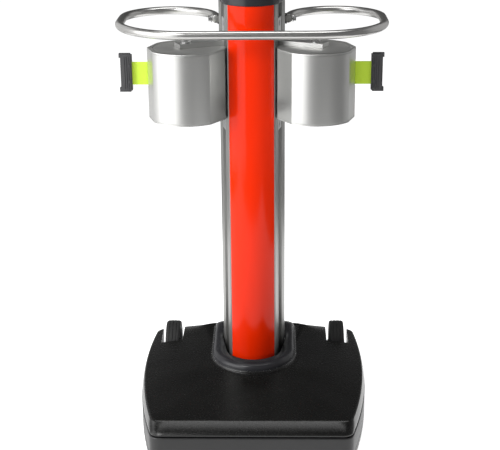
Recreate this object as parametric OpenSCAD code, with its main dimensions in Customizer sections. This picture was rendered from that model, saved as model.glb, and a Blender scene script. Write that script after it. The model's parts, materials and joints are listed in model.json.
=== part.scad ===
// Wheeled crowd-control barrier post with two belt cassettes.
// Millimetres, +Z up. Origin: centre of the bounding box, at the floor.
// The weighted base reaches forward (-Y); the wheels are at the rear (+Y).

/* [Belt cassettes] */
// Webbing width of the belts
belt_w = 51; // [38:1:75]
// Outer radius of a cassette drum
cas_r = 87; // [75:1:100]
// Height of a cassette
cas_h = 157; // [120:1:180]
// Distance of a cassette axis from the post axis, sideways
cas_x = 142; // [135:1:170]
// Height of the cassette top face above the floor
cas_top = 866; // [800:1:900]
// Free length of belt between mouth and clip at rest
belt_rest = 34; // [20:1:60]

/* [Post] */
// Widest width of the aluminium post section
post_w = 149; // [140:1:152]
// Height of the underside of the top cap
cap_z = 960; // [900:1:1000]
// Height of the top cap
cap_h = 45; // [30:1:60]
// Outer radius of the curved front cover
cover_r = 65; // [62:1:67]

/* [Handle] */
// Outer radius of the handle tube
rail_r = 9.5; // [8:0.5:12]
// Height of the handle tube centre
rail_z = 905; // [890:1:930]
// Half width of the handle, to the tube centre
rail_x = 297; // [280:1:320]
// Radius of the rear loops, to the tube centre
loop_r = 107.25; // [100:0.25:115]

/* [Base] */
// Half width of the weighted base at its widest
base_hw = 265.5; // [255:0.5:290]
// Wheel radius
wheel_r = 62.5; // [50:0.5:75]
// Wheel width
wheel_w = 36; // [28:1:40]
// Distance of a wheel centre from the middle
wheel_x = 206; // [195:1:208]

/* [Hidden] */
$fn = 96;
py = 58;                    // post axis, in Y
e = 0.3;                    // gap between separate pieces
cas_y = py - 31;            // cassette axis, in Y
cas_z0 = cas_top - cas_h;   // cassette bottom
plate_t = 4;                // cassette end plates
wall = 2.4;                 // cassette shell sheet
belt_z = cas_z0 + cas_h / 2 + 21;  // belt centre height
belt_t = 1;                 // webbing, as modelled
pin_r = 6;                  // cassette arbor
run = 0.06;                 // radial running clearance
core_r = 42;                // spool core
roll_r = 46.5;              // wound belt
mouth_x = cas_r;            // mouth plane, from the cassette axis
clip_w = 28;                // belt clip, along the belt
clip_h = 85;
clip_t = 15;
arm_w = 34;                 // bracket arms
arm_t = 10;
low_t = 8;                  // lower arm
face_a = -12.407;           // direction of the slanted side face
fx = post_w / 2 - 11;       // middle of the slanted side face
fy = py + 5;
arm_a = atan2(cas_y - fy, cas_x - fx);     // arm direction in plan
arm_l = norm([cas_x - fx, cas_y - fy]);    // face to cassette axis
plate_z0 = 672;             // bracket back plate
plate_z1 = 925;
screw_zs = [681, 692.5, 890, 912]; // bracket screws
axle_y = py + 142;          // wheel axle
axle_z = wheel_r + 3.5;
front_y = -285.5;           // front of the base skirt
side_r = 1190;              // bow of the base's long sides
side_y = 45;                // where the base is widest
rear_y = py + 168;          // rear of the base
top_z = 116;                // crown of the base
boss_z = 920;               // foot of the screw bosses under the cap
clip_up = 2;                // clip centre above the belt centre
cap_spots = [[post_w / 2 - 24, 114], [31, -36.4]];   // cap screws
bar_y = py - 104;           // front bar of the handle
bolt_y = py + 103;          // bolts of the handle
tube_x = rail_x - 2 * loop_r;   // where the tube meets the post

module both() { children(); mirror([1, 0, 0]) children(); }
module side(s) { if (s > 0) children(); else mirror([1, 0, 0]) children(); }
module ring(ro, ri, h) {
  difference() {
    cylinder(r = ro, h = h);
    translate([0, 0, -1]) cylinder(r = ri, h = h + 2);
  }
}
module at_cas(z) { translate([cas_x, cas_y, z]) children(); }
module at_face(z) {
  translate([fx, fy, z]) rotate([0, 0, face_a]) children();
}

// ---------- base ----------
module outline(o, cut = 0) {
  r = max(24 - o, 4);
  y0 = front_y + o + cut + r;
  y1 = rear_y - o - r;
  for (s = [-1, 1], t = [0:0.125:1]) let (y = y0 + (y1 - y0) * t,
      x = base_hw - side_r + sqrt(pow(side_r - o - r, 2) - pow(y - side_y, 2)))
    translate([s * x, y]) circle(r = r, $fn = 32);
}
module layer(z, o, cut = 0) {
  translate([0, 0, z]) linear_extrude(1) hull() outline(o, cut);
}
module crown(z, o) {
  translate([0, py + 24, z]) linear_extrude(1)
    hull() for (s = [-1, 1], t = [o - 100, 112 - o])
      translate([s * (100 - o), t]) circle(r = 26, $fn = 24);
}
module upper(o, dz) {
  hull() {
    layer(78, 2 + o);
    layer(99 - dz, 6 + o, 23.5);
    crown(top_z - 1 - dz, o);
  }
}
module notch(o, z0, z1) {
  both() translate([wheel_x - 27 - o, axle_y - 68 - o, z0])
    cube([54 + 2 * o, 140 + o, z1 - z0]);
}
module socket(o, z0, z1) {
  translate([-80 - o, py - 72 - o, z0])
    cube([160 + 2 * o, 210 + 2 * o, z1 - z0]);
}
module base_shell() color([0.05, 0.05, 0.055]) {
  difference() {
    union() {
      upper(0, 0);
      translate([0, 0, 12]) linear_extrude(67) hull() outline(9);
    }
    difference() {
      union() {
        translate([0, 0, 11]) linear_extrude(68) hull() outline(14);
        upper(6, 5);
      }
      notch(5, 8, 120);
    }
    notch(0, 5, 125);
    socket(0, 60, 125);
    both() translate([wheel_x - 60, axle_y, axle_z]) rotate([0, 90, 0])
      cylinder(r = 6.05, h = 95);
  }
}
module base_skirt() color([0.09, 0.09, 0.095]) {
  difference() {
    translate([0, 0, 8]) linear_extrude(65) hull() outline(0);
    translate([0, 0, 7]) linear_extrude(67) hull() outline(8.6);
    notch(0.6, 0, 125);
  }
}
module pan_at() {
  for (s = [-1, 1]) {
    for (y = [-150, -30]) translate([s * 222, y, 0]) children();
    translate([s * 200, front_y + 40, 0]) children();
    translate([s * 120, front_y + 30, 0]) children();
    translate([s * 120, rear_y - 30, 0]) children();
  }
}
module base_pan() color([0.12, 0.12, 0.12]) {
  difference() {
    translate([0, 0, 6]) linear_extrude(4.6) hull() outline(9.6);
    notch(6, 0, 60);
    pan_at() cylinder(r = 2.6, h = 40, $fn = 32);
  }
}
module pan_screws() color([0.6, 0.6, 0.62])
  pan_at() {
    translate([0, 0, 3.2]) cylinder(r = 4.5, h = 2.7, $fn = 32);
    translate([0, 0, 3.2]) cylinder(r = 2.5, h = 8.2, $fn = 32);
  }
module foot_at() {
  for (s = [-1, 1]) {
    translate([s * 190, front_y + 90, 0]) children();
    translate([s * 190, -60, 0]) children();
    translate([s * 125, rear_y - 75, 0]) children();
  }
}
module rubber_feet() color([0.03, 0.03, 0.03])
  foot_at() cylinder(r = 22, h = 5.9);
module ballast_plate() color([0.25, 0.25, 0.26]) {
  difference() {
    union() {
      translate([0, front_y + 45, 28]) linear_extrude(24)
        polygon([[-205, 0], [205, 0], [228, 120], [228, 250], [-228, 250],
          [-228, 120]]);
      translate([-155, -30, 28]) cube([310, rear_y, 24]);
    }
    foot_bolt_at() translate([0, 0, 5]) cylinder(r = 5.6, h = 60);
  }
}
module collar_plan(o) {
  hull() {
    translate([0, py - 12]) circle(r = 99 + o);
    for (s = [-1, 1]) translate([s * 84, py + 136]) circle(r = 15 + o);
  }
}
module base_collar() color([0.045, 0.045, 0.05]) {
  difference() {
    hull() {
      translate([0, 0, top_z + 3]) linear_extrude(1) collar_plan(0);
      translate([0, 0, top_z + 10]) linear_extrude(1) collar_plan(-2);
      translate([0, 0, top_z + 15]) linear_extrude(1) collar_plan(-8);
      translate([0, 0, top_z + 17]) linear_extrude(1) collar_plan(-16);
    }
    translate([0, 0, top_z]) linear_extrude(20) post_outline(0.8);
    translate([0, py - 4, top_z]) cylinder(r = cover_r + 0.6, h = 20);
  }
}
module collar_trim() color([0.75, 0.75, 0.76]) {
  difference() {
    translate([0, 0, top_z + 0.3]) linear_extrude(2.4) collar_plan(3.5);
    socket(-4, 60, 125);
  }
}
module foot_bolt_at() {
  for (s = [-1, 1], p = [[52, -60], [22, 94]])
    translate([s * p[0], py + p[1], 0]) children();
}
module post_foot() color([0.5, 0.5, 0.52]) {
  difference() {
    union() {
      translate([-70, py - 78, 52.3]) cube([140, 206, 8]);
      difference() {
        translate([-46, py + 73, 60]) cube([92, 42, 90]);
        translate([-40, py + 79, 59]) cube([80, 30, 92]);
      }
      difference() {
        translate([-32, py - 34, 60]) cube([64, 70, 90]);
        translate([-26, py - 28, 59]) cube([52, 58, 92]);
      }
    }
    foot_bolt_at() translate([0, 0, 50]) cylinder(r = 5.6, h = 20);
  }
}
module foot_bolts() color([0.62, 0.62, 0.64])
  foot_bolt_at() {
    translate([0, 0, 14]) cylinder(r = 5, h = 48);
    translate([0, 0, 60.8]) cylinder(r = 9, h = 6.4, $fn = 6);
  }

// ---------- wheels ----------
module wheel_at(s) {
  translate([s * wheel_x, axle_y, axle_z]) rotate([0, 90, 0]) children();
}
module tyre(s) color([0.04, 0.04, 0.04]) wheel_at(s) {
  w = wheel_w;
  rotate_extrude() polygon([[50.05, -w / 2 + 1], [57, -w / 2],
    [60, -w / 2 + 1.5], [61.8, -w / 2 + 5], [wheel_r, 0],
    [61.8, w / 2 - 5], [60, w / 2 - 1.5], [57, w / 2], [50.05, w / 2 - 1]]);
}
module hub(s) color([0.16, 0.16, 0.165]) wheel_at(s) {
  w = wheel_w;
  difference() {
    rotate_extrude() polygon([[9.02, -w / 2 - 3], [15, -w / 2 - 3],
      [16, -w / 2 + 4], [42, -w / 2 + 8], [43, -w / 2 + 1], [50, -w / 2 + 1],
      [50, w / 2 - 1], [43, w / 2 - 1], [42, w / 2 - 8], [16, w / 2 - 4],
      [15, w / 2 + 3], [9.02, w / 2 + 3]]);
    for (a = [0:60:300]) rotate([0, 0, a]) translate([29, 0, -w])
      cylinder(r = 8, h = 2 * w, $fn = 48);
  }
}
module bush(s) color([0.72, 0.6, 0.3]) wheel_at(s)
  translate([0, 0, -wheel_w / 2 - 3]) ring(9, pin_r + run, wheel_w + 6);
module axle(s) color([0.7, 0.7, 0.72]) side(s)
  translate([wheel_x - 45, axle_y, axle_z]) rotate([0, 90, 0])
    difference() {
      cylinder(r = pin_r, h = 75);
      translate([0, 0, 2]) ring(8, 4.6, 1.4);
    }
module wheel_tyre_left() tyre(-1);
module wheel_tyre_right() tyre(1);
module wheel_hub_left() hub(-1);
module wheel_hub_right() hub(1);
module wheel_bush_left() bush(-1);
module wheel_bush_right() bush(1);
module wheel_axle_left() axle(-1);
module wheel_axle_right() axle(1);
module axle_clips() color([0.55, 0.55, 0.57])
  both() translate([wheel_x - 42.8, axle_y, axle_z]) rotate([0, 90, 0])
    difference() {
      ring(9.5, 4.65, 1);
      translate([0, -3, -1]) cube([12, 6, 4]);
    }

// ---------- post ----------
module post_outline(o) {
  w = post_w / 2;
  f = w - 22;
  polygon([[f + o, py - 45 - o], [w + o, py + 55 - o * 0.2],
    [w + o, py + 66 + o], [w - 13 + o, py + 72 + o], [w - 13 + o, py + 113],
    [w - 25 + o * 0.4, py + 125 + o], [-w + 25 - o * 0.4, py + 125 + o],
    [-w + 13 - o, py + 113], [-w + 13 - o, py + 72 + o],
    [-w - o, py + 66 + o], [-w - o, py + 55 - o * 0.2],
    [-f - o, py - 45 - o]]);
}
module post_profile() color([0.66, 0.66, 0.65]) {
  z0 = 61;
  h = cap_z - z0 - e;
  w = post_w / 2;
  difference() {
    translate([0, 0, z0]) linear_extrude(h) post_outline(0);
    translate([0, 0, z0 - 1]) linear_extrude(h + 2) {
      polygon([[33 - w, py - 41], [w - 33, py - 41], [w - 11, py + 56],
        [w - 11, py + 62], [11 - w, py + 62], [11 - w, py + 56]]);
      polygon([[18 - w, py + 69], [w - 18, py + 69], [w - 18, py + 111],
        [w - 27, py + 121], [27 - w, py + 121], [18 - w, py + 111]]);
    }
    both() at_face(z0 - 1)
      translate([-7, -18, 0]) cube([12, 36, h + 2]);
    both() at_face(0) for (z = screw_zs)
      translate([-16, 0, z]) rotate([0, 90, 0]) cylinder(r = 3.1, h = 20);
    both() translate([tube_x - 39, bolt_y, rail_z]) rotate([0, 90, 0])
      cylinder(r = 4.2, h = 30);
  }
  both() for (p = cap_spots)
    translate([p[0], py + p[1], boss_z]) ring(4.8, 2.2, cap_z - boss_z - e);
}
module front_cover() color([0.86, 0.05, 0.02]) {
  translate([0, 0, 119]) linear_extrude(cap_z - 119 - e)
    difference() {
      translate([0, py - 4]) circle(r = cover_r, $fn = 144);
      translate([0, py - 4]) circle(r = cover_r - 3, $fn = 144);
      translate([-80, py - 45 - e]) square([160, 150]);
    }
}
module cover_clips() color([0.1, 0.1, 0.1])
  for (z = [180, 360, 540, 720, 900])
    translate([-30, py - 54, z]) difference() {
      cube([60, 8.8, 24]);
      translate([6, -1, 4]) cube([48, 7, 16]);
    }
module top_cap() color([0.03, 0.03, 0.03]) {
  difference() {
    hull() {
      translate([0, 0, cap_z]) linear_extrude(34) cap_plan(0);
      translate([0, 0, cap_z + 40]) linear_extrude(1) cap_plan(-3);
      translate([0, 0, cap_z + cap_h - 1]) linear_extrude(1) cap_plan(-12);
    }
    translate([0, 0, cap_z - 1]) linear_extrude(39) cap_plan(-5);
    for (p = cap_spots, s = [-1, 1])
      translate([s * p[0], py + p[1], cap_z]) {
        cylinder(r = 2.3, h = 60, $fn = 32);
        translate([0, 0, cap_h - 4]) cylinder(r = 4.4, h = 10, $fn = 32);
      }
  }
  for (p = cap_spots, s = [-1, 1])
    translate([s * p[0], py + p[1], cap_z])
      ring(4.2, 2.3, cap_h - 6, $fn = 32);
}
module cap_plan(o) {
  hull() {
    translate([0, py - 4]) circle(r = cover_r + 2 + o, $fn = 96);
    for (s = [-1, 1]) {
      translate([s * (post_w / 2 - 6), py + 60]) circle(r = 8 + o, $fn = 32);
      translate([s * (post_w / 2 - 25), py + 112]) circle(r = 15 + o);
    }
  }
}
module cap_screws() color([0.2, 0.2, 0.2])
  for (p = cap_spots, s = [-1, 1])
    translate([s * p[0], py + p[1], 0]) {
      translate([0, 0, cap_z + cap_h - 3.9])
        cylinder(r = 4, h = 2.4, $fn = 32);
      translate([0, 0, cap_z - 14]) cylinder(r = 2.1, h = cap_h + 11);
    }

// ---------- handle ----------
module tube_arc(r, a) {
  rotate_extrude(angle = a, $fn = 144) translate([r, 0]) difference() {
    circle(r = rail_r, $fn = 40);
    circle(r = rail_r - 2, $fn = 40);
  }
}
module handle_rail() color([0.78, 0.78, 0.78]) {
  r1 = 160;                       // front corner radius
  cx = rail_x - r1;
  cy = bar_y + r1;
  lx = rail_x - loop_r;
  ly = -front_y - rail_r - loop_r;
  translate([-cx, bar_y, rail_z]) rotate([0, 90, 0])
    ring(rail_r, rail_r - 2, 2 * cx, $fn = 40);
  both() difference() {
    union() {
      translate([cx, cy, rail_z]) rotate([0, 0, -90]) tube_arc(r1, 90);
      translate([rail_x, cy, rail_z]) rotate([-90, 0, 0])
        ring(rail_r, rail_r - 2, ly - cy, $fn = 40);
      translate([lx, ly, rail_z]) tube_arc(loop_r, 180);
      translate([lx - loop_r, ly - 14, rail_z]) rotate([-90, 0, 0])
        cylinder(r = rail_r, h = 14, $fn = 40);
    }
    translate([tube_x - 29, bolt_y, rail_z]) rotate([0, 90, 0])
      cylinder(r = 4.2, h = 60);
  }
}
module handle_bushes() color([0.06, 0.06, 0.06])
  both() translate([tube_x - 20.8, bolt_y, rail_z])
    rotate([0, 90, 0]) difference() {
      cylinder(r = 12, h = 17.5);
      translate([0, 0, -1]) cylinder(r = 4.2, h = 30);
      translate([0, -40, 20.8]) rotate([-90, 0, 0])
        cylinder(r = rail_r + 0.1, h = 80);
    }
module handle_bolts() color([0.72, 0.72, 0.73])
  both() translate([0, bolt_y, rail_z]) rotate([0, 90, 0]) {
    translate([0, 0, tube_x - 33]) cylinder(r = 4, h = 48);
    translate([0, 0, tube_x + 9.8]) ring(9, 4.1, 1.6);
    translate([0, 0, tube_x + 11.5]) cylinder(r = 7.5, h = 6, $fn = 6);
  }
module handle_nuts() color([0.6, 0.6, 0.62])
  both() translate([tube_x - 32.8, bolt_y, rail_z]) rotate([0, 90, 0])
    difference() {
      cylinder(r = 7.5, h = 6.5, $fn = 6);
      translate([0, 0, -1]) cylinder(r = 4.03, h = 9);
    }

// ---------- cassettes ----------
module cas_plan(o) {
  difference() {
    circle(r = cas_r - o, $fn = 144);
    for (a = [18.2, -18.2]) rotate([0, 0, a])
      translate([82.9 - o, -60]) square([20, 120]);
    rotate([0, 0, -147]) translate([82.5 - o, -60]) square([20, 120]);
    rotate([0, 0, 167.6]) translate([83.9 - o, -60]) square([20, 120]);
  }
}
module shell(s) color([0.7, 0.7, 0.69]) side(s)
  at_cas(cas_z0 + plate_t + e) difference() {
    linear_extrude(cas_h - 2 * plate_t - 2 * e) difference() {
      cas_plan(0);
      cas_plan(wall);
    }
    translate([60, -4, belt_z - cas_z0 - plate_t - e - belt_w / 2 - 3])
      cube([40, 8, belt_w + 6]);
  }
module disc(s, z, c) color(c) side(s)
  at_cas(z) difference() {
    linear_extrude(plate_t) cas_plan(0);
    translate([0, 0, -1]) cylinder(r = pin_r + 0.1, h = 8);
    for (y = [-5.5, 5.5]) translate([75, y, -1])
      cylinder(r = 3.05, h = 8);
  }
module cassette_shell_left() shell(-1);
module cassette_shell_right() shell(1);
module cassette_top_left() disc(-1, cas_top - plate_t, [0.7, 0.7, 0.7]);
module cassette_top_right() disc(1, cas_top - plate_t, [0.7, 0.7, 0.7]);
module cassette_bottom_left() disc(-1, cas_z0, [0.6, 0.6, 0.6]);
module cassette_bottom_right() disc(1, cas_z0, [0.6, 0.6, 0.6]);
module arm(z, t) {
  at_face(z) translate([-5, -13, 0]) cube([14, 26, t]);
  translate([fx, fy, z]) rotate([0, 0, arm_a])
    translate([4, -arm_w / 2, 0]) cube([arm_l + 18, arm_w, t]);
}
module bracket(s) color([0.74, 0.74, 0.73]) side(s) {
  difference() {
    union() {
      at_face(plate_z0) translate([-6.7, -17.7, 0])
        cube([5.6, 35.4, plate_z1 - plate_z0]);
      arm(cas_top + e, arm_t);
      arm(cas_z0 - low_t - e, low_t);
    }
    at_cas(600) cylinder(r = pin_r + 0.1, h = 400);
    at_face(0) for (z = screw_zs)
      translate([-12, 0, z]) rotate([0, 90, 0]) cylinder(r = 3.1, h = 30);
    at_face(0) for (z = screw_zs)
      translate([-3.4, 0, z]) rotate([0, 90, 0]) cylinder(r = 6.2, h = 30);
    at_face(plate_z0) translate([-10, -17.8, 0]) rotate([-20, 0, 0])
      translate([0, -10, -30]) cube([12, 70, 30]);
  }
}
module bracket_left() bracket(-1);
module bracket_right() bracket(1);
module bracket_screws() color([0.5, 0.5, 0.52])
  both() at_face(0) for (z = screw_zs)
    translate([-14, 0, z]) rotate([0, 90, 0]) {
      cylinder(r = 3, h = 12);
      translate([0, 0, 10.7]) cylinder(r = 5.6, h = 3);
    }
module arbor(s) color([0.62, 0.62, 0.64]) side(s)
  at_cas(0) {
    translate([0, 0, cas_z0 - low_t - e - 4.3])
      cylinder(r = 10.5, h = 4);
    translate([0, 0, cas_z0 - low_t - e - 4])
      cylinder(r = pin_r, h = cas_h + arm_t + low_t + 18);
  }
module arbor_left() arbor(-1);
module arbor_right() arbor(1);
module arbor_nuts() color([0.66, 0.66, 0.68])
  both() at_cas(cas_top + arm_t + 2 * e) {
    ring(12, pin_r + 0.02, 2);
    translate([0, 0, 2.2]) difference() {
      cylinder(r = 10.5, h = 9, $fn = 6);
      translate([0, 0, -1]) cylinder(r = pin_r + 0.02, h = 12);
    }
  }
module spool(s) color([0.85, 0.85, 0.83]) side(s)
  at_cas(0) {
    zb = belt_z - belt_w / 2 - 3;
    translate([0, 0, cas_z0 + plate_t + 1])
      ring(12, pin_r + run, cas_h - 2 * plate_t - 2);
    translate([0, 0, zb]) ring(62, 11.9, 2.4);
    translate([0, 0, zb + belt_w + 3.6]) ring(62, 11.9, 2.4);
    translate([0, 0, zb]) ring(core_r, core_r - 3, belt_w + 6);
  }
module spool_left() spool(-1);
module spool_right() spool(1);
module roll(s) color([0.72, 0.87, 0.12]) side(s)
  at_cas(belt_z - belt_w / 2) ring(roll_r, core_r + 0.02, belt_w);
module belt_roll_left() roll(-1);
module belt_roll_right() roll(1);
// Flat power spring: one strip, wound outwards
function coil(a, t) = let (r = 14 + 6 * a / 360 + t)
  [r * cos(a), r * sin(a)];
module spring(s) color([0.35, 0.37, 0.42]) side(s)
  at_cas(cas_z0 + plate_t + 3) linear_extrude(34)
    polygon(concat([for (a = [0:15:2400]) coil(a, 0)],
      [for (a = [2400:-15:0]) coil(a, 0.9)]));
module power_spring_left() spring(-1);
module power_spring_right() spring(1);
module guide(s) color([0.8, 0.8, 0.82]) side(s)
  at_cas(cas_z0 + 0.2) for (y = [-5.5, 5.5])
    translate([75, y, 0]) cylinder(r = 3, h = cas_h - 0.4);
module guide_pins_left() guide(-1);
module guide_pins_right() guide(1);

// ---------- belts ----------
clip_x = mouth_x + belt_rest;   // from the cassette axis
module tongue(s) color([0.74, 0.9, 0.14]) side(s)
  at_cas(belt_z - belt_w / 2) difference() {
    linear_extrude(belt_w) {
      translate([74.6, -belt_t / 2]) square([clip_x + 12 - 74.6, belt_t]);
      polygon([[30.6, 36.2], [74.4, -0.5], [74.9, 0.1], [31.3, 36.9]]);
    }
    for (z = [8, belt_w - 8]) translate([clip_x + 6, 0, z])
      rotate([90, 0, 0]) cylinder(r = 2.3, h = 10, center = true);
  }
module belt_tongue_left() tongue(-1);
module belt_tongue_right() tongue(1);
module clip(s) color([0.12, 0.12, 0.13]) side(s)
  at_cas(belt_z + clip_up - clip_h / 2) difference() {
    union() {
      translate([clip_x, -clip_t / 2, 3]) cube([clip_w - 6, clip_t, clip_h - 6]);
      translate([clip_x + 3, -clip_t / 2 + 2, 0])
        cube([clip_w - 6, clip_t - 4, clip_h]);
      for (x = [2.5:4.5:18]) translate([clip_x + x, 0, 6])
        for (y = [-clip_t / 2, clip_t / 2]) translate([0, y, 0])
          cylinder(r = 1.1, h = clip_h - 12, $fn = 24);
      for (z = [0, clip_h - 9]) translate([clip_x + clip_w - 7, -clip_t / 2 + 2, z])
        cube([7, clip_t - 4, 9]);
    }
    translate([clip_x - 1, -belt_t / 2 - 0.1,
        clip_h / 2 - belt_w / 2 - clip_up - 0.2])
      cube([14, belt_t + 0.2, belt_w + 0.4]);
    for (z = [8, belt_w - 8])
      translate([clip_x + 6, 0, clip_h / 2 - belt_w / 2 - clip_up + z])
        rotate([90, 0, 0]) cylinder(r = 2.1, h = 30, center = true);
  }
module belt_clip_left() clip(-1);
module belt_clip_right() clip(1);
module rivets(s) color([0.6, 0.6, 0.6]) side(s)
  at_cas(belt_z - belt_w / 2) for (z = [8, belt_w - 8])
    translate([clip_x + 6, 0, z]) rotate([90, 0, 0]) {
      cylinder(r = 2, h = clip_t + 2.4, center = true);
      for (s = [-1, 1]) translate([0, 0, s * (clip_t / 2 + 1.8)])
        cylinder(r = 3, h = 1, center = true);
    }
module clip_rivets_left() rivets(-1);
module clip_rivets_right() rivets(1);

base_shell();
base_skirt();
base_pan();
pan_screws();
rubber_feet();
ballast_plate();
base_collar();
collar_trim();
post_foot();
foot_bolts();
wheel_tyre_left();
wheel_tyre_right();
wheel_hub_left();
wheel_hub_right();
wheel_bush_left();
wheel_bush_right();
wheel_axle_left();
wheel_axle_right();
axle_clips();
post_profile();
front_cover();
cover_clips();
top_cap();
cap_screws();
handle_rail();
handle_bushes();
handle_bolts();
handle_nuts();
cassette_shell_left();
cassette_shell_right();
cassette_top_left();
cassette_top_right();
cassette_bottom_left();
cassette_bottom_right();
bracket_left();
bracket_right();
bracket_screws();
arbor_left();
arbor_right();
arbor_nuts();
spool_left();
spool_right();
belt_roll_left();
belt_roll_right();
power_spring_left();
power_spring_right();
guide_pins_left();
guide_pins_right();
belt_tongue_left();
belt_tongue_right();
belt_clip_left();
belt_clip_right();
clip_rivets_left();
clip_rivets_right();
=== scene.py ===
"""Looks of a wheeled barrier post: finishes, smooth shells, light and camera.

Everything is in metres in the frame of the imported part: +Z up, -Y to the red
front, +X to the right-hand belt cassette.
"""

import json
import logging
import math
from dataclasses import dataclass
from enum import Enum

import bmesh
import bpy
import numpy as np
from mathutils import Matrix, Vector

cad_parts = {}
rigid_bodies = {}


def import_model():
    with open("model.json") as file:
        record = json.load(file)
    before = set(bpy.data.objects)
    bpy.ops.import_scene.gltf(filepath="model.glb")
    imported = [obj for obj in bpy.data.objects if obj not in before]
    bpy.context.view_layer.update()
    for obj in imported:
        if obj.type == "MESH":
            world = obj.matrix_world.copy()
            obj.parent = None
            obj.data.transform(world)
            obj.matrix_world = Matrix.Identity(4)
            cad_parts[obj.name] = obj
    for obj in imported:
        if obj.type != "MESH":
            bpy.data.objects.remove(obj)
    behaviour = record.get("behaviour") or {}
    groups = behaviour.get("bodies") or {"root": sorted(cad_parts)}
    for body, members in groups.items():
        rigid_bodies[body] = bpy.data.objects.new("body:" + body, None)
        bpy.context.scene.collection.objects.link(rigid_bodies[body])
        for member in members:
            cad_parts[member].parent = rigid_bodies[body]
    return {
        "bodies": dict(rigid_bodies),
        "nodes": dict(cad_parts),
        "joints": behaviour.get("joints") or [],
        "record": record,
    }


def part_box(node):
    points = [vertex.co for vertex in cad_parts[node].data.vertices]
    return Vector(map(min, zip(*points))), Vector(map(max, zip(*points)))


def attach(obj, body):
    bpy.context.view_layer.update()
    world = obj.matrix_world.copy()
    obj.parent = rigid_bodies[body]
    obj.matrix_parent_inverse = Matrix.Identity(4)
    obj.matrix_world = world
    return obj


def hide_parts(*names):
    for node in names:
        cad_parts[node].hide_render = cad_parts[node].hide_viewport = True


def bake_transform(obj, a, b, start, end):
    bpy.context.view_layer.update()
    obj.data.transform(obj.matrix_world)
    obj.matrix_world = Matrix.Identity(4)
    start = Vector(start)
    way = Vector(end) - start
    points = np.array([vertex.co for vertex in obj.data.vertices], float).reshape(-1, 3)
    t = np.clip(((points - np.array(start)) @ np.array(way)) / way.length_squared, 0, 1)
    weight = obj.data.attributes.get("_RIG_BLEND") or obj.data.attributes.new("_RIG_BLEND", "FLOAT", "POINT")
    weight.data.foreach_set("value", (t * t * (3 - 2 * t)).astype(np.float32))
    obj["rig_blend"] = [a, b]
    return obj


LOG = logging.getLogger("barrier_post")
MM = 0.001
POST_Y = 58 * MM
COVER_R = 65 * MM
Pair = tuple[float, float]
Triple = tuple[float, float, float]


class Side(Enum):
    """The two mirror-image sides of the post."""

    LEFT = -1
    RIGHT = 1

    def node(self, stem: str) -> str:
        """Name of this side's CAD node or body, such as arbor_left."""
        return f"{stem}_{self.name.lower()}"


class Grain(Enum):
    """Which way the fine lines of a metal surface run."""

    LEVEL = (2.0, 2.0, 900.0)
    UPRIGHT = (700.0, 700.0, 2.0)
    NONE = (260.0, 260.0, 260.0)


# --------------------------------------------------------------- finishes


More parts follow.
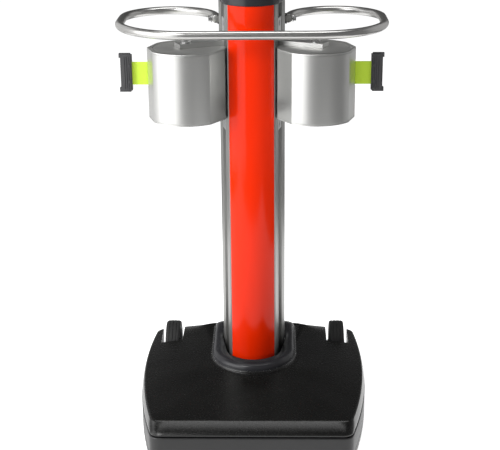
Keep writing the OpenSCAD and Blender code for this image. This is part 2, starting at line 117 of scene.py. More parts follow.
@dataclass(frozen=True)
class Finish:
    """A surface finish, made once as a procedural material.

    Attributes:
        name: Name of the material.
        color: Base colour, linear.
        roughness: Mean roughness.
        metallic: 1 for bare metal, 0 for plastic, rubber and cloth.
        grain: Which way the fine lines run.
        streak: How far roughness swings along the grain.
        bump: Height of the fine relief, in metres.
        relief: Cells per metre of the fine relief.
        mottle: How far the colour swings in large soft patches.
        coat: Weight of a clear gloss layer.
        specular: Specular level of the surface.
        worn: How much paler convex edges are rubbed.
    """

    name: str
    color: Triple
    roughness: float = 0.4
    metallic: float = 0.0
    grain: Grain = Grain.NONE
    streak: float = 0.1
    bump: float = 0.00001
    relief: float = 900.0
    mottle: float = 0.06
    coat: float = 0.0
    specular: float = 0.5
    worn: float = 0.0

    def material(self) -> bpy.types.Material:
        """The material of this finish, made on first use."""
        made = bpy.data.materials.get(self.name)
        return made if made else self._build()

    def _build(self) -> bpy.types.Material:
        """Builds the node tree.

        Returns:
            A material whose colour, roughness and relief come from noise on
            Object coordinates, so the pattern keeps its scale on any piece.
        """
        mat = bpy.data.materials.new(self.name)
        mat.use_nodes = True
        tree = mat.node_tree
        shader = tree.nodes["Principled BSDF"]
        shader.inputs["Metallic"].default_value = self.metallic
        shader.inputs["Specular IOR Level"].default_value = self.specular
        shader.inputs["Coat Weight"].default_value = self.coat
        shader.inputs["Coat Roughness"].default_value = 0.04
        place = tree.nodes.new("ShaderNodeTexCoord")
        self._colour(tree, shader, place)
        self._surface(tree, shader, place)
        return mat

    def _noise(
        self,
        tree: bpy.types.NodeTree,
        place: bpy.types.Node,
        scale: Triple,
        detail: float,
    ) -> bpy.types.Node:
        """A noise texture on Object coordinates.

        Args:
            tree: Node tree to add to.
            place: Texture Coordinate node.
            scale: Cells per metre along each axis.
            detail: Octaves of the noise.

        Returns:
            The noise node.
        """
        stretch = tree.nodes.new("ShaderNodeMapping")
        stretch.inputs["Scale"].default_value = scale
        noise = tree.nodes.new("ShaderNodeTexNoise")
        noise.inputs["Scale"].default_value = 1.0
        noise.inputs["Detail"].default_value = detail
        tree.links.new(place.outputs["Object"], stretch.inputs["Vector"])
        tree.links.new(stretch.outputs["Vector"], noise.inputs["Vector"])
        return noise

    def _colour(
        self,
        tree: bpy.types.NodeTree,
        shader: bpy.types.Node,
        place: bpy.types.Node,
    ) -> None:
        """Colour: the base tone, mottled, with rubbed convex edges.

        Args:
            tree: Node tree to add to.
            shader: The principled shader.
            place: Texture Coordinate node.
        """
        noise = self._noise(tree, place, (9.0, 9.0, 9.0), 4.0)
        ramp = tree.nodes.new("ShaderNodeValToRGB")
        low, high = ramp.color_ramp.elements
        low.position, high.position = 0.3, 0.72
        low.color = (*(c * (1 - self.mottle) for c in self.color), 1)
        high.color = (*(min(1, c * (1 + self.mottle)) for c in self.color), 1)
        tree.links.new(noise.outputs["Fac"], ramp.inputs["Fac"])
        out = ramp.outputs["Color"]
        if self.worn > 0:
            edge = tree.nodes.new("ShaderNodeNewGeometry")
            pick = tree.nodes.new("ShaderNodeMapRange")
            pick.inputs["From Min"].default_value = 0.52
            pick.inputs["From Max"].default_value = 0.62
            pick.inputs["To Max"].default_value = self.worn
            mix = tree.nodes.new("ShaderNodeMixRGB")
            pale = (*(min(1, c * 0.8 + 0.12) for c in self.color), 1)
            mix.inputs["Color2"].default_value = pale
            tree.links.new(edge.outputs["Pointiness"], pick.inputs["Value"])
            tree.links.new(pick.outputs["Result"], mix.inputs["Fac"])
            tree.links.new(out, mix.inputs["Color1"])
            out = mix.outputs["Color"]
        tree.links.new(out, shader.inputs["Base Color"])

    def _surface(
        self,
        tree: bpy.types.NodeTree,
        shader: bpy.types.Node,
        place: bpy.types.Node,
    ) -> None:
        """Roughness swings along the grain; fine relief is a bump.

        Args:
            tree: Node tree to add to.
            shader: The principled shader.
            place: Texture Coordinate node.
        """
        line = self._noise(tree, place, self.grain.value, 3.0)
        swing = tree.nodes.new("ShaderNodeMapRange")
        swing.inputs["To Min"].default_value = max(
            0.02, self.roughness - self.streak
        )
        swing.inputs["To Max"].default_value = self.roughness + self.streak
        tree.links.new(line.outputs["Fac"], swing.inputs["Value"])
        tree.links.new(swing.outputs["Result"], shader.inputs["Roughness"])
        fine = line
        if self.grain is Grain.NONE:
            fine = self._noise(tree, place, (self.relief,) * 3, 3.0)
        bump = tree.nodes.new("ShaderNodeBump")
        bump.inputs["Strength"].default_value = 1.0
        bump.inputs["Distance"].default_value = self.bump
        tree.links.new(fine.outputs["Fac"], bump.inputs["Height"])
        tree.links.new(bump.outputs["Normal"], shader.inputs["Normal"])


@dataclass(frozen=True)
class Webbing(Finish):
    """Woven belt: ribs across the strap and a flat selvedge, on the UV map.

    Attributes:
        ribs: Weft ribs per metre of strap.
        ends: Warp ends across the strap's width.
    """

    ribs: float = 620.0
    ends: float = 26.0

    def _surface(
        self,
        tree: bpy.types.NodeTree,
        shader: bpy.types.Node,
        place: bpy.types.Node,
    ) -> None:
        """A basket of two crossed waves sets relief and sheen.

        Args:
            tree: Node tree to add to.
            shader: The principled shader.
            place: Texture Coordinate node.
        """
        shader.inputs["Roughness"].default_value = self.roughness
        shader.inputs["Sheen Weight"].default_value = 0.25
        waves = []
        for axis, count in (("X", self.ribs), ("Y", self.ends)):
            stretch = tree.nodes.new("ShaderNodeMapping")
            stretch.inputs["Scale"].default_value = (count, count, 1.0)
            wave = tree.nodes.new("ShaderNodeTexWave")
            wave.bands_direction = axis
            wave.inputs["Scale"].default_value = 0.32
            wave.inputs["Distortion"].default_value = 0.4
            tree.links.new(place.outputs["UV"], stretch.inputs["Vector"])
            tree.links.new(stretch.outputs["Vector"], wave.inputs["Vector"])
            waves.append(wave)
        weave = tree.nodes.new("ShaderNodeMath")
        weave.operation = "MULTIPLY"
        for wave, socket in zip(waves, weave.inputs):
            tree.links.new(wave.outputs["Fac"], socket)
        bump = tree.nodes.new("ShaderNodeBump")
        bump.inputs["Distance"].default_value = self.bump
        tree.links.new(weave.outputs["Value"], bump.inputs["Height"])
        tree.links.new(bump.outputs["Normal"], shader.inputs["Normal"])


MOULDING = Finish(
    "black_gloss_moulding", (0.006, 0.006, 0.0056), 0.25, streak=0.1,
    bump=0.00002, relief=420.0, mottle=0.2, specular=0.42,
    worn=0.1,
)
SKIRT = Finish(
    "bumper_skirt", (0.014, 0.014, 0.0145), 0.42, bump=0.00003, mottle=0.15,
    worn=0.25,
)
CAP = Finish(
    "cap_gloss", (0.006, 0.006, 0.007), 0.08, streak=0.03, bump=0.000004,
    coat=0.6,
)
RED = Finish(
    "red_cover_gloss", (0.82, 0.024, 0.0002), 0.12, streak=0.03,
    bump=0.000003, relief=300.0, mottle=0.02, specular=0.22,
)
TEXTURED = Finish(
    "clip_fine_texture", (0.022, 0.022, 0.025), 0.5, bump=0.00005,
    relief=1500.0, worn=0.3,
)
RUBBER = Finish(
    "soft_rubber", (0.014, 0.014, 0.014), 0.72, bump=0.00005, relief=700.0,
    mottle=0.2,
)
WHEEL = Finish(
    "wheel_plastic", (0.05, 0.05, 0.053), 0.45, bump=0.00003, worn=0.2
)
CASSETTE = Finish(
    "cassette_satin_steel", (0.68, 0.68, 0.665), 0.38, 1.0, Grain.LEVEL,
    streak=0.05, bump=0.000003, mottle=0.02,
)
PLATE = Finish(
    "plate_satin_steel", (0.62, 0.62, 0.605), 0.45, 1.0, Grain.UPRIGHT,
    streak=0.06, bump=0.000003, mottle=0.03,
)
TUBE = Finish(
    "handle_polished_tube", (0.60, 0.595, 0.58), 0.3, 1.0, streak=0.06,
    bump=0.000002, mottle=0.03,
)
ANODISED = Finish(
    "column_anodised", (0.36, 0.36, 0.35), 0.4, 1.0, Grain.UPRIGHT,
    streak=0.07, bump=0.000004, mottle=0.03,
)
BRACKET = Finish(
    "bracket_satin", (0.62, 0.62, 0.61), 0.36, 1.0, streak=0.06,
    bump=0.000004, worn=0.3,
)
BRIGHT = Finish(
    "bright_fastener", (0.62, 0.62, 0.62), 0.24, 1.0, bump=0.000004,
    worn=0.3,
)
ZINC = Finish(
    "zinc_fastener", (0.5, 0.51, 0.53), 0.36, 1.0, bump=0.00001, mottle=0.12,
    worn=0.3,
)
IRON = Finish(
    "cast_ballast", (0.07, 0.07, 0.073), 0.7, 0.6, bump=0.0002,
    relief=260.0, mottle=0.25,
)
BRONZE = Finish(
    "sintered_bush", (0.5, 0.34, 0.13), 0.45, 1.0, bump=0.00002, mottle=0.1
)
BLUED = Finish("blued_spring", (0.06, 0.075, 0.13), 0.3, 1.0)
NATURAL = Finish("spool_natural", (0.62, 0.61, 0.57), 0.45, bump=0.00002)
BELT = Webbing(
    "belt_webbing", (0.50, 0.76, 0.018), 0.75, bump=0.00022, mottle=0.05,
    specular=0.25,
)

NODE_FINISHES: dict[str, Finish] = {
    "base_pan": WHEEL, "pan_screws": ZINC, "rubber_feet": RUBBER,
    "ballast_plate": IRON, "collar_trim": BRIGHT, "post_foot": ZINC,
    "foot_bolts": ZINC, "wheel_bush": BRONZE, "wheel_axle": BRIGHT,
    "axle_clips": ZINC, "cover_clips": WHEEL, "cap_screws": ZINC,
    "handle_bushes": RUBBER, "handle_bolts": BRIGHT, "handle_nuts": ZINC,
    "cassette_bottom": PLATE, "bracket_screws": ZINC, "arbor": BRIGHT,
    "arbor_nuts": BRIGHT, "spool": NATURAL, "belt_roll": BELT,
    "power_spring": BLUED, "guide_pins": BRIGHT, "clip_rivets": TEXTURED,
}


# ------------------------------------------------------------- mesh tools


def full_turn(count: int) -> np.ndarray:
    """Even angles round a whole turn, in radians."""
    return np.linspace(0, 2 * np.pi, count, endpoint=False)


def rays(turn: np.ndarray) -> np.ndarray:
    """Unit vectors in plan along the given angles."""
    return np.stack((np.cos(turn), np.sin(turn)), -1)


def add_mesh(
    name: str,
    points: np.ndarray,
    faces: np.ndarray,
    extra: list[list[int]] | None = None,
    uv: np.ndarray | None = None,
    sharp: float = 38.0,
) -> bpy.types.Object:
    """Puts arrays of points and quads into a new object at the origin.

    Args:
        name: Name of the object.
        points: Points, shape (n, 3).
        faces: Quads, shape (m, 4).
        extra: Further faces with any number of corners, such as end caps.
        uv: UV of each point, shape (n, 2).
        sharp: Edges sharper than this many degrees stay crisp.

    Returns:
        The new object, shaded smooth between its crisp edges.
    """
    mesh = bpy.data.meshes.new(name)
    mesh.from_pydata(points.tolist(), [], faces.tolist() + (extra or []))
    mesh.update()
    if uv is not None:
        layer = mesh.uv_layers.new(name="UVMap")
        corner = np.zeros(len(mesh.loops), np.int64)
        mesh.loops.foreach_get("vertex_index", corner)
        layer.data.foreach_set("uv", uv[corner].astype(np.float32).ravel())
    outward(mesh)
    mesh.set_sharp_from_angle(angle=math.radians(sharp))
    made = bpy.data.objects.new(name, mesh)
    bpy.context.scene.collection.objects.link(made)
    return made


def outward(mesh: bpy.types.Mesh) -> None:
    """Merges doubles, turns every face outwards and shades it smooth."""
    work = bmesh.new()
    work.from_mesh(mesh)
    bmesh.ops.remove_doubles(work, verts=work.verts, dist=1e-6)
    bmesh.ops.recalc_face_normals(work, faces=work.faces)
    for face in work.faces:
        face.smooth = True
    work.to_mesh(mesh)
    work.free()


def grid_quads(rows: int, cols: int, close_rows: bool) -> np.ndarray:
    """Quads of a grid whose columns wrap round.

    Args:
        rows: Rings of the grid.
        cols: Points in each ring.
        close_rows: Whether the last ring joins the first.

    Returns:
        Corner numbers, shape (m, 4).
    """
    r = np.arange(rows if close_rows else rows - 1)[:, None]
    c = np.arange(cols)[None, :]
    r2, c2 = (r + 1) % rows, (c + 1) % cols
    quads = (r * cols + c, r * cols + c2, r2 * cols + c2, r2 * cols + c)
    return np.stack(np.broadcast_arrays(*quads), -1).reshape(-1, 4)


def loft(
    name: str,
    rings: np.ndarray,
    closed: bool = False,
    sharp: float = 38.0,
    uv: np.ndarray | None = None,
) -> bpy.types.Object:
    """A closed solid carried through rings of points.

    Args:
        name: Name of the object.
        rings: Ring points, shape (rings, points, 3).
        closed: Whether the last ring joins the first, as in a hoop; if not,
            both ends are capped.
        sharp: Edges sharper than this many degrees stay crisp.
        uv: UV of each point, shape (n, 2).

    Returns:
        The new object.
    """
    rows, cols = rings.shape[:2]
    caps = None
    if not closed:
        first = list(range(cols))
        caps = [first, [(rows - 1) * cols + i for i in first]]
    quads = grid_quads(rows, cols, closed)
    return add_mesh(name, rings.reshape(-1, 3), quads, caps, uv, sharp)


def rings_at(outlines: list, heights: list) -> np.ndarray:
    """Stacks plan outlines at their heights, shape (rings, points, 3).

    Args:
        outlines: Plan outlines, each of shape (points, 2).
        heights: A height, or one height for each point, for each outline.

    Returns:
        The rings.
    """
    return np.stack([
        np.c_[o, np.broadcast_to(z, len(o))] for o, z in zip(outlines, heights)
    ])


def revolve(
    name: str, profile: list[Pair], centre: Triple, count: int = 96
) -> bpy.types.Object:
    """A closed hoop: a profile turned round an axis along X.

    A point (r, x) of the profile goes to x along the axis and to r away
    from it, at every turn angle.

    Args:
        name: Name of the object.
        profile: Closed loop of (radius, distance along the axis).
        centre: Centre of the hoop.
        count: Steps round the axis.

    Returns:
        The new object.
    """
    turn = full_turn(count)
    outline = np.array(profile)
    rings = np.stack(
        (
            np.broadcast_to(outline[:, 1:], (len(outline), count)),
            outline[:, :1] * np.cos(turn),
            outline[:, :1] * np.sin(turn),
        ),
        -1,
    )
    return loft(name, rings + np.array(centre), closed=True)


def rounded(
    loop: list[Pair], radius: float, steps: int = 4
) -> list[Pair]:
    """A closed loop of points with its corners rounded.

    Each corner becomes a quadratic arc from radius before it to radius
    after it, or to the middle of a short edge.

    Args:
        loop: Corners in order.
        radius: How far from a corner its arc starts.
        steps: Points in each arc.

    Returns:
        The rounded loop.
    """
    pts = np.array(loop)
    before, after = np.roll(pts, 1, 0) - pts, np.roll(pts, -1, 0) - pts
    ends = []
    for way in (before, after):
        size = np.linalg.norm(way, axis=1, keepdims=True)
        ends.append(pts + way / size * np.minimum(radius, size * 0.48))
    t = np.linspace(0, 1, steps)[None, :, None]
    arc = (
        (1 - t) ** 2 * ends[0][:, None]
        + 2 * t * (1 - t) * pts[:, None]
        + t**2 * ends[1][:, None]
    )
    return [tuple(p) for p in arc.reshape(-1, 2)]


def headings(line: np.ndarray) -> np.ndarray:
    """Unit vectors along a line of points, one for each point."""
    along = np.gradient(line, axis=0)
    return along / np.linalg.norm(along, axis=1, keepdims=True)


def cut(target: bpy.types.Object, *tools: bpy.types.Object) -> None:
    """Cuts tools out of a piece and removes them.

    Args:
        target: The piece that is cut.
        *tools: Closed solids to take away from it.
    """
    for tool in tools:
        step = target.modifiers.new("cut", "BOOLEAN")
        step.operation, step.object, step.solver = "DIFFERENCE", tool, "EXACT"
        graph = bpy.context.evaluated_depsgraph_get()
        done = bpy.data.meshes.new_from_object(target.evaluated_get(graph))
        target.modifiers.clear()
        target.data = done
        bpy.data.objects.remove(tool)
    outward(target.data)
    target.data.set_sharp_from_angle(angle=math.radians(30))


def block(name: str, low: Triple, high: Triple) -> bpy.types.Object:
    """A plain block between two corners, used only as a cutting tool."""
    (x0, y0, z0), (x1, y1, z1) = low, high
    plan = np.array([(x0, y0), (x1, y0), (x1, y1), (x0, y1)])
    return loft(name, rings_at([plan, plan], [z0, z1]))


def dress(obj: bpy.types.Object, finish: Finish) -> None:
    """Gives every material slot of an object one finish."""
    mat = finish.material()
    if not obj.material_slots:
        obj.data.materials.append(mat)
    for entry in obj.material_slots:
        entry.material = mat


@dataclass
class Build:
    """What every sub-assembly shares.

    Attributes:
    """

    frame: dict

    def settle(
        self,
        piece: bpy.types.Object,
        finish: Finish,
        body: str,
        slot: str,
        *nodes: str,
    ) -> bpy.types.Object:
        """Dresses a finished piece and ties it to the frame.

        Args:
            piece: The new piece.
            finish: Its finish.
            body: CAD body that it moves with.
            slot: Material slot of the record; not used.
            *nodes: CAD nodes that it stands for.

        Returns:
            The piece.
        """
        dress(piece, finish)
        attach(piece, body)
        if nodes:
            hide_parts(*nodes)
        LOG.info("%s rides on %s", piece.name, body)
        return piece

    def softened(
        self, node: str, width: float, steps: int = 2
    ) -> bpy.types.Object:
        """A copy of a hard CAD node with its edges eased.

        Args:
            node: CAD node to copy.
            width: Width of the eased edge.
            steps: Segments across it.

        Returns:
            The merged copy, with a live bevel on its sharp edges.
        """
        source = self.frame["nodes"][node]
        mesh = source.data.copy()
        mesh.materials.clear()
        work = bmesh.new()
        work.from_mesh(mesh)
        bmesh.ops.remove_doubles(work, verts=work.verts, dist=2e-6)
        bmesh.ops.dissolve_limit(
            work, angle_limit=math.radians(0.5), verts=work.verts,
            edges=work.edges,
        )
        for face in work.faces:
            face.smooth = True
        work.to_mesh(mesh)
        work.free()
        for layer in list(mesh.attributes):
            if layer.name.startswith("custom"):
                mesh.attributes.remove(layer)
        mesh.set_sharp_from_angle(angle=math.radians(30))
        made = bpy.data.objects.new(node + "_eased", mesh)
        bpy.context.scene.collection.objects.link(made)
        ease = made.modifiers.new("ease", "BEVEL")
        ease.width, ease.segments = width, steps
        ease.limit_method, ease.angle_limit = "ANGLE", math.radians(34)
        ease.harden_normals = True
        return made


def polar_outline(
    circles: list[Triple],
    grow: float = 0.0,
    centre: Pair = (0.0, 30 * MM),
    count: int = 320,
) -> np.ndarray:
    """Outline of the hull of circles, sampled at even angles.

    The hull is the overlap of half planes, one for each direction u at
    distance h(u) from the centre; along angle a its edge lies at the least
    h(u) / cos(a - u).

    Args:
        circles: Centre x, centre y and radius of each circle.
        grow: Distance by which the outline is moved outwards.
        centre: Point inside the hull that the angles turn about.
        count: Number of points.

    Returns:
        Points, shape (count, 2).
    """
    turn = full_turn(count)
    lean = full_turn(720)
    aim = rays(lean)
    discs = np.array(circles)
    far = (aim @ (discs[:, :2] - centre).T + discs[:, 2]).max(1) + grow
    tilt = np.cos(turn[:, None] - lean[None, :])
    reach = np.where(tilt > 0.05, far / np.maximum(tilt, 0.05), 9.0).min(1)
    ray = rays(turn)
    return np.array(centre) + reach[:, None] * ray


# --------------------------------------------------------- sub-assemblies


@dataclass
class Base(Build):
    """Weighted base: crowned moulding, bumper skirt and collar.

    Attributes:
        bow: Radius of the long sides.
        widest: Where along Y the base is widest.
        corner: Radius of the corners.
        deck: Inset of the deck's edge, and how much more at the front.
        wall: Thickness of the moulding.
        edge_z: Height of the deck's edge in millimetres.
        rise: How much higher that edge is at the rear, in millimetres.
    """

    bow: float = 1.19
    widest: float = 45 * MM
    corner: float = 24 * MM
    deck: Pair = (6 * MM, 23.5 * MM)
    wall: float = 5.5 * MM
    edge_z: float = 100
    rise: float = 16

    def outline(self, inset: float, front: float = 0.0) -> list[Triple]:
        """Circles along both bowed sides, whose hull is the base's plan.

        A side's circles lie at x = half - bow + sqrt((bow - inset - r)^2 -
        (y - widest)^2).

        Args:
            inset: Distance inside the skirt's outer face.
            front: Extra distance at the front.

        Returns:
            Centre x, centre y and radius of each circle.
        """
        low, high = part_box("base_skirt")
        r = max(self.corner - inset, 4 * MM)
        y = np.linspace(low.y + inset + front + r, high.y - inset - r, 17)
        x = high.x - self.bow + np.sqrt(
            (self.bow - inset - r) ** 2 - (y - self.widest) ** 2
        )
        return [
            (s * a, b, r) for s in (-1, 1)
            for a, b in zip(x.tolist(), y.tolist())
        ]

    def collar(self) -> list[Triple]:
        """Circles of the collar outline."""
        return [(0, POST_Y - 0.012, 0.099)] + [
            (s * 0.084, POST_Y + 0.136, 0.015) for s in (-1, 1)
        ]

    def crowned(self, name: str, inset: float) -> bpy.types.Object:
        """The moulding as a solid: plinth, bevel, deck edge and crown.

        A ring between two outlines a and b is (1 - t) a + t b.  The deck's
        edge lies at z = 100 + 16 clamp((250 - |x|) / 150) S(y), with S a
        smooth step to the rear; the bevel rises to it as t^0.8 and the
        deck from it to z = 116 + 2 sin(pi t).

        Args:
            name: Name of the object.
            inset: How far the whole shape lies inside the outer one.

        Returns:
            The closed solid.
        """
        rim = polar_outline(self.outline(1.2 * MM + inset))
        edge = polar_outline(
            self.outline(self.deck[0] + inset, self.deck[1])
        )
        crown = polar_outline([
            (s * (0.1 - inset), POST_Y + 0.024 + t, 26 * MM)
            for s in (-1, 1) for t in (inset - 0.1, 0.112 - inset)
        ])
        lean = np.clip((0.25 - np.abs(edge[:, 0])) / 0.15, 0, 1)
        back = np.clip((edge[:, 1] - 0.02) / 0.18, 0, 1)
        lift = self.rise * lean * back**2 * (3 - 2 * back)
        ridge = (self.edge_z + lift) * MM - inset
        foot = [(9, 12), (9, 74.5), (8.4, 75.6), (3, 76), (1.8, 76.6),
                (1.2, 78)]
        if inset:
            foot = [(9, 9), (9, 76)]
        plans = [polar_outline(self.outline(a * MM + inset)) for a, _ in foot]
        levels: list = [z * MM for _, z in foot]
        low = 80 * MM - inset
        for t in (0, 0.12, 0.3, 0.55, 0.8, 0.93, 1.0):
            plans.append(rim * (1 - t) + edge * t)
            levels.append(low + (ridge - 0.8 * MM - low) * t**0.8)
        for t in (0.012, 0.03, 0.06, 0.12, *np.linspace(0.2, 1, 9).tolist()):
            plans.append(edge * (1 - t) + crown * t)
            arch = 2 * MM * math.sin(math.pi * t)
            top = 116 * MM - inset
            levels.append(ridge * (1 - t) + top * t + arch)
        return loft(name, rings_at(plans, levels), sharp=50)

    def house(self, grow: float, low: float, high: float) -> list:
        """Cutting blocks over both wheel notches.

        Args:
            grow: How much larger than the notch.
            low: Lower end.
            high: Upper end.

        Returns:
            The two blocks.
        """
        near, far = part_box("wheel_tyre_right")
        mid, half = (near.x + far.x) / 2, 27 * MM + grow
        front = near.y - 5.5 * MM - grow
        return [
            block(
                f"house_{side.name}",
                (side.value * mid - half, front, low),
                (side.value * mid + half, 0.27, high),
            )
            for side in Side
        ]

    def build(self) -> None:
        """Builds and dresses the whole base."""
        cavity = self.crowned("cavity", self.wall)
        cut(cavity, *self.house(5 * MM, -0.01, 0.2))
        shell = self.crowned("base_moulding", 0.0)
        well = block("well", (-0.08, POST_Y - 0.072, 0.06),
                     (0.08, POST_Y + 0.138, 0.13))
        cut(shell, cavity, well, *self.house(0.0, -0.01, 0.2))
        self.settle(shell, MOULDING, "stand", "base_moulding", "base_shell")
        self.build_skirt()
        self.build_collar()

    def build_skirt(self) -> None:
        """The bumper: a band with rounded edges and a shallow groove."""
        low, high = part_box("base_skirt")
        z = low.z
        loop = rounded(
            [(0, z), (0, z + 16 * MM), (1.2 * MM, z + 18 * MM),
             (0, z + 20 * MM), (0, high.z), (8.6 * MM, high.z),
             (8.6 * MM, z)],
            3 * MM, 5,
        )
        outlines = [polar_outline(self.outline(a)) for a, _ in loop]
        rings = rings_at(outlines, [height for _, height in loop])
        skirt = loft("base_bumper", rings, closed=True, sharp=38)
        cut(skirt, *self.house(0.6 * MM, -0.01, 0.2))
        self.settle(skirt, SKIRT, "stand", "skirt_rubber", "base_skirt")

    def build_collar(self) -> None:
        """The collar: a fat roll between its outline and the column.

        Its height over the share t of the way inwards is a half round,
        fuller towards the outside.
        """
        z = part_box("base_collar")[0].z
        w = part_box("post_profile")[1].x
        rim = polar_outline(self.collar())
        hole = polar_outline(
            [(0, POST_Y - 4 * MM, COVER_R)] + [
                (s * x, POST_Y + y * MM, 0.5 * MM) for s in (-1, 1)
                for x, y in ((w - 0.022, -45), (w, 55), (w, 66),
                             (w - 0.013, 113), (w - 0.025, 125))
            ],
            0.8 * MM,
        )
        roll = [(0, 0), (0, 3), (0.02, 6), (0.07, 9.5), (0.16, 12.4),
                (0.28, 14.2), (0.42, 15), (0.56, 14.8), (0.7, 13.8),
                (0.84, 12.2), (0.95, 10.2), (1, 8), (1, 0)]
        plans = [rim * (1 - t) + hole * t for t, _ in roll]
        heights = [z + h * MM for _, h in roll]
        ring = loft("collar_ring", rings_at(plans, heights), closed=True)
        self.settle(ring, CAP, "stand", "base_moulding", "base_collar")


@dataclass
class Wheels(Build):
    """Two rear wheels: tread, hub and the parts on their axles."""

    def build(self) -> None:
        """Builds both wheels."""
        for side in Side:
            low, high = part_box(side.node("wheel_tyre"))
            mid = (low + high) / 2
            half, rim = (high.x - low.x) / 2, (high.z - low.z) / 2
            body = side.node("wheel")
            tread = revolve(
                side.node("tread"), self.profile(half, rim),
                (mid.x, mid.y, mid.z),
            )
            self.settle(tread, RUBBER, body, "tyre_rubber",
                        side.node("wheel_tyre"))
            hub = self.softened(side.node("wheel_hub"), 0.8 * MM)
            self.settle(hub, WHEEL, body, "wheel_plastic",
                        side.node("wheel_hub"))

    def profile(self, half: float, rim: float) -> list[Pair]:
        """Tyre section: rounded shoulders and three tread grooves.

        The crown's radius is rim - 0.9 mm (x / half)^2, less 1.2 mm in each
        groove.

        Args:
            half: Half the tyre's width.
            rim: Its outer radius.

        Returns:
            Closed loop of (radius, distance along the axis).
        """
        across = np.linspace(-0.72, 0.72, 61)
        groove = np.abs(((across * 2.1 + 10.5) % 1) - 0.5) < 0.09
        crown = rim - 0.9 * MM * across**2 - groove * 1.2 * MM
        top = list(zip(crown.tolist(), (across * half).tolist()))
        inner = 50.1 * MM
        left = [(inner, -half + 0.001), (inner + 0.005, -half),
                (rim - 0.003, -half * 0.97), (rim - 0.0012, -half * 0.84)]
        right = [(r, -x) for r, x in reversed(left)]
        return left + top + right


@dataclass
class Column(Build):
    """The upright: extrusion, red front cover and top cap."""

    def build(self) -> None:
        """Builds the column from the foot to the cap."""
        self.build_extrusion()
        self.build_cover()
        self.build_cap()

    def build_extrusion(self) -> None:
        """The extrusion: its section, edges eased, carried up in Z.

        Each slanted side has a channel 7 mm deep whose corners are found
        from the middle of the face, its direction u and its normal n.
        """
        low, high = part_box("post_profile")
        w = high.x / MM
        n = np.array([0.9766, -0.2149])
        u = np.array([0.2149, 0.9766])
        mid = np.array([w - 11, 5.0])
        channel = [
            mid + a * u + b * n for a, b in
            ((-18, 0), (-18, -7), (18, -7), (18, 0))
        ]
        lip, tail = (
            [mid + (spot + a) * u - b * n for a, b in
             ((-1, 0), (0, 0.8), (1, 0))] for spot in (-29, 29)
        )
        right = np.array(
            [(w - 22, -45), *lip, *channel, *tail, (w, 55), (w, 66),
             (w - 13, 72), (w - 13, 113), (w - 25, 125)], float,
        ) * MM
        loop = np.r_[right, right[::-1] * (-1, 1)] + (0, POST_Y)
        section = np.array(rounded([tuple(p) for p in loop], 0.7 * MM, 3))
        solid = loft(
            "column_extrusion",
            rings_at([section, section], [low.z, high.z]), sharp=25,
        )
        front = [(w - 33, -41), (w - 11, 56), (w - 11, 62), (11 - w, 62),
                 (11 - w, 56), (33 - w, -41)]
        rear = [(w - 18, 69), (w - 18, 111), (w - 27, 121), (27 - w, 121),
                (18 - w, 111), (18 - w, 69)]
        for name, hollow in (("front_bay", front), ("rear_bay", rear)):
            plan = np.array(hollow) * MM + (0, POST_Y)
            tool = loft(name, rings_at([plan, plan], [0.0, 1.2]))
            cut(solid, tool)
        self.settle(solid, ANODISED, "stand", "post_aluminium",
                    "post_profile")

    def build_cover(self) -> None:
        """The red cover: a curved strip 3 mm thick with eased edges."""
        low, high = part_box("front_cover")
        y = POST_Y - 4 * MM
        edge = y - high.y
        sides = []
        for r in (COVER_R, COVER_R - 3 * MM):
            half = math.acos(edge / r)
            a = np.linspace(-half, half, 81)
            sides.append(np.stack((r * np.sin(a), y - r * np.cos(a)), -1))
        plan = np.r_[sides[0], sides[1][::-1]]
        levels = np.linspace(low.z, high.z, 9).tolist()
        strip = loft("red_cover", rings_at([plan] * 9, levels))
        ease = strip.modifiers.new("ease", "BEVEL")
        ease.width, ease.segments = 0.9 * MM, 3
        ease.limit_method, ease.angle_limit = "ANGLE", math.radians(50)
        strip.visible_glossy = False
        self.settle(strip, RED, "stand", "red_cover", "front_cover")

    def build_cap(self) -> None:
        """The cap: straight sides, a rolled shoulder and a slight dome."""
        low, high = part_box("top_cap")
        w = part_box("post_profile")[1].x
        circles = [(0, POST_Y - 0.004, COVER_R + 2 * MM)]
        for s in (-1, 1):
            circles += [(s * (w - 0.006), POST_Y + 0.06, 0.008),
                        (s * (w - 0.025), POST_Y + 0.112, 0.015)]
        turn = np.linspace(0, np.pi / 2, 9)
        steps = [(2.5, 0.0), (0.8, 0.1), (0.1, 0.8), (0, 2), (0, 28)]
        steps += list(zip((14 - 14 * np.cos(turn)).tolist(),
                          (30 + 13.4 * np.sin(turn)).tolist()))
        steps += [(18, 43.9), (26, 44.5), (38, 44.9), (48, 45)]
        plans = [
            polar_outline(circles, -a * MM, (0.0, POST_Y + 0.02))
            for a, _ in steps
        ]
        heights = [low.z + z * MM for _, z in steps]
        cap = loft("column_cap", rings_at(plans, heights), sharp=50)
        spots = [(s * x, POST_Y + y) for s in (-1, 1)
                 for x, y in ((w - 0.024, 0.114), (0.031, -0.0364))]
        turn = full_turn(40)
        for x, y in spots:
            disc = rays(turn) * 4.6 * MM
            plan = disc + (x, y)
            cut(cap, loft("recess", rings_at(
                [plan, plan], [high.z - 4 * MM, high.z + 5 * MM])))
        self.settle(cap, CAP, "stand", "cap_gloss", "top_cap")


